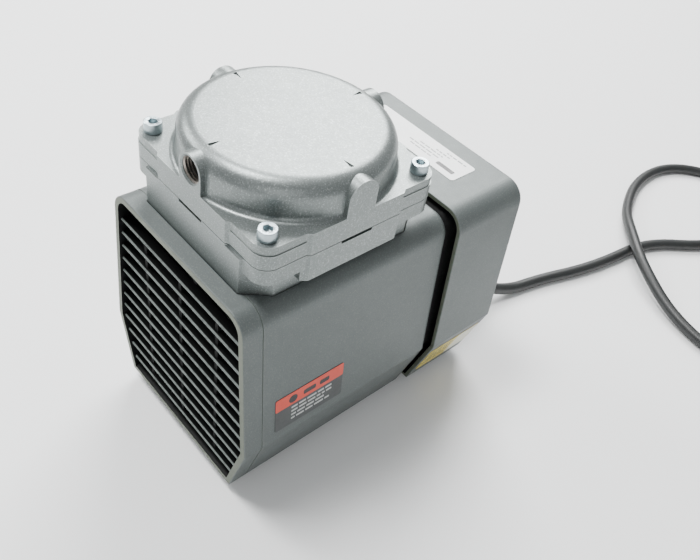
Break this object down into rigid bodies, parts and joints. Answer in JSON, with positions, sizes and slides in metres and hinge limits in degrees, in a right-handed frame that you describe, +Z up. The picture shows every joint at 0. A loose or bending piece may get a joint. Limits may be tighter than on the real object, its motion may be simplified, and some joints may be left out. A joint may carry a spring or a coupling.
{
  "type": "diaphragm vacuum pump",
  "caption": "Compact electric diaphragm vacuum pump with a domed cast head, ribbed air grille, grey metal housing and mains cord.",
  "frame": {"origin": "on the floor, under the middle of the housing", "axes": "+X to the right, +Y towards the cord end along the motor shaft, +Z up"},
  "size_m": [0.3291, 0.522, 0.1843],
  "materials": {
    "housing_paint": "satin",
    "cast_paint": "satin",
    "grille_paint": "satin",
    "black_plastic": "matte",
    "aluminium": "satin",
    "rubber": "matte",
    "polished_steel": "polished",
    "zinc_steel": "satin",
    "steel": "satin",
    "copper": "satin",
    "dark_label": "satin",
    "white_label": "satin",
    "yellow_label": "satin",
    "cord_rubber": "satin",
    "brass": "polished"
  },
  "bodies": {
    "pump": {"front_shroud": "housing_paint", "front_grille": "grille_paint", "grille_frame": "grille_paint", "rear_cover": "housing_paint", "air_baffle": "black_plastic", "crankcase": "cast_paint", "head_cover": "cast_paint", "valve_plate": "aluminium", "valve_gasket": "rubber", "valve_leaf_roots": "polished_steel", "valve_screws": "zinc_steel", "diaphragm": "rubber", "bearing_outer_rings": "polished_steel", "bearing_balls": "polished_steel", "stator_core": "steel", "stator_windings": "copper", "rear_bracket": "aluminium", "motor_bolts": "zinc_steel", "head_screws": "zinc_steel", "rubber_feet": "rubber", "foot_screws": "zinc_steel", "side_label": "dark_label", "nameplate": "white_label", "cover_label": "yellow_label", "strain_relief": "cord_rubber", "power_cord": "cord_rubber", "cord_coil": "cord_rubber", "cord_tail": "cord_rubber", "plug_body": "cord_rubber", "plug_pins": "brass"},
    "rotor": {"rotor_shaft": "polished_steel", "eccentric": "steel", "counterweight": "steel", "eccentric_set_screw": "zinc_steel", "rotor_core": "steel", "rotor_end_rings": "aluminium", "front_fan": "black_plastic", "rear_fan": "black_plastic", "bearing_inner_rings": "polished_steel", "rod_bearing_inner_ring": "polished_steel"},
    "rod": {"connecting_rod": "aluminium", "rod_bearing_outer_ring": "polished_steel", "rod_bearing_balls": "polished_steel", "lower_clamp_disc": "aluminium", "upper_clamp_disc": "aluminium", "clamp_screw": "zinc_steel"},
    "intake_leaf": {"intake_flap": "polished_steel"},
    "exhaust_leaf": {"exhaust_flap": "polished_steel"}
  },
  "joints": [
    {"name": "rotor_spin", "type": "hinge", "parent": "pump", "child": "rotor", "pos_m": [0, 0, 0.07], "axis": [0, 1, 0], "continuous": true},
    {"name": "rod_bearing", "type": "hinge", "parent": "rotor", "child": "rod", "pos_m": [0, -0.029, 0.067], "axis": [0, 1, 0], "continuous": true, "deforming": ["diaphragm"]},
    {"name": "intake_leaf_bend", "type": "hinge", "parent": "pump", "child": "intake_leaf", "pos_m": [-0.006, -0.046, 0.16], "axis": [0, 1, 0], "range_deg": [0, 4], "stiffness_Nm_per_rad": 0.02},
    {"name": "exhaust_leaf_bend", "type": "hinge", "parent": "pump", "child": "exhaust_leaf", "pos_m": [-0.006, -0.012, 0.162], "axis": [0, -1, 0], "range_deg": [0, 8], "stiffness_Nm_per_rad": 0.02}
  ],
  "couplings": [
    {"joint": "rod_bearing", "follows": "rotor_spin", "ratio": -1}
  ]
}
